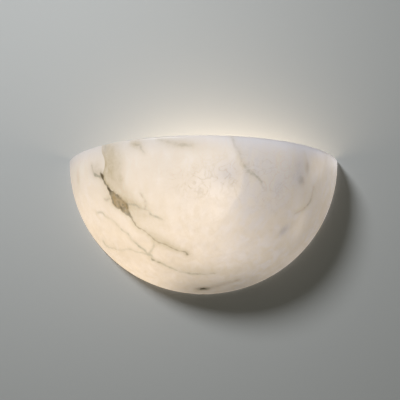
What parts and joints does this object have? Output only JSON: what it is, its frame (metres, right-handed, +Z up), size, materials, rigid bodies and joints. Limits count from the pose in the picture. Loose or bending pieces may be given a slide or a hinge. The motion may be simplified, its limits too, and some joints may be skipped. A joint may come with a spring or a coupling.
{
  "type": "alabaster wall light",
  "caption": "Half-bowl wall uplight in veined pale stone, hung on two studs in front of a white steel pan that carries a side-entry lampholder and an opal lamp.",
  "frame": {"origin": "centre of the wall fixing's two slots, on the wall's face", "axes": "+Z up; +X to the viewer's right along the wall; +Y into the wall, so the bowl stands out towards -Y"},
  "size_m": [0.36, 0.1364, 0.18],
  "materials": {
    "alabaster": "satin polished, veined",
    "zinc_steel": "zinc plated",
    "resin": "cast epoxy, ivory",
    "silicone": "soft, translucent grey",
    "knurled_brass": "turned and knurled",
    "white_powder_coat": "fine texture powder coat",
    "porcelain": "gloss glaze",
    "brass": "plain machined",
    "spring_bronze": "rolled strip",
    "nickel": "nickel plated",
    "black_glass": "vitreous black",
    "lamp_white": "satin moulded",
    "opal": "opal diffuser",
    "grommet_rubber": "moulded",
    "glass_braid": "braided glass-fibre sleeve",
    "line_brown": "insulated conductor",
    "neutral_blue": "insulated conductor",
    "earth_green_yellow": "insulated conductor, striped",
    "terminal_white": "moulded"
  },
  "bodies": {
    "fixture": {"wall_bar": "zinc_steel", "pan_screws": "zinc_steel", "pan_washers": "zinc_steel", "cap_nuts": "nickel", "mounting_pan": "white_powder_coat", "hanging_studs": "zinc_steel", "lampholder_bracket": "white_powder_coat", "bracket_rivets": "zinc_steel", "holder_nipple": "brass", "nipple_washer": "zinc_steel", "nipple_nut": "brass", "lampholder_cover": "porcelain", "lampholder_barrel": "porcelain", "contact_base": "porcelain", "holder_terminals": "brass", "centre_contact": "spring_bronze", "screw_liner": "nickel", "sleeve_grommet": "grommet_rubber", "heat_sleeve": "glass_braid", "line_wire": "line_brown", "neutral_wire": "neutral_blue", "earth_wire": "earth_green_yellow", "terminal_block": "terminal_white", "terminal_tubes": "brass", "terminal_screws": "nickel", "block_screw": "zinc_steel", "earth_stud": "zinc_steel", "earth_tag": "nickel", "earth_washer": "zinc_steel", "earth_nut": "zinc_steel"},
    "bowl": {"alabaster_bowl": "alabaster", "hanger_left": "zinc_steel", "hanger_right": "zinc_steel", "resin_bed_left": "resin", "resin_bed_right": "resin", "wall_pads": "silicone"},
    "nut_left": {"knurled_nut_left": "knurled_brass"},
    "nut_right": {"knurled_nut_right": "knurled_brass"},
    "lamp_tip": {"lamp_contact": "zinc_steel"},
    "lamp": {"lamp_insulator": "black_glass", "lamp_cap": "nickel", "lamp_housing": "lamp_white", "lamp_globe": "opal"}
  },
  "joints": [
    {"name": "bowl_pull_off", "type": "slide", "parent": "fixture", "child": "bowl", "axis": [0, -1, 0], "range_m": [0, 0.15]},
    {"name": "left_nut_turn", "type": "hinge", "parent": "bowl", "child": "nut_left", "pos_m": [-0.095, -0.0264, 0.028], "axis": [0, -1, 0], "continuous": true},
    {"name": "right_nut_turn", "type": "hinge", "parent": "bowl", "child": "nut_right", "pos_m": [0.095, -0.0264, 0.028], "axis": [0, -1, 0], "continuous": true},
    {"name": "lamp_travel", "type": "slide", "parent": "fixture", "child": "lamp_tip", "axis": [-1, 0, 0], "range_m": [0, 0.02541]},
    {"name": "lamp_turn", "type": "hinge", "parent": "lamp_tip", "child": "lamp", "pos_m": [0, -0.062, 0], "axis": [-1, 0, 0], "range_deg": [0, 2520]}
  ],
  "couplings": [
    {"joint": "lamp_travel", "follows": "lamp_turn", "m_per_rad": 0.00057757}
  ]
}
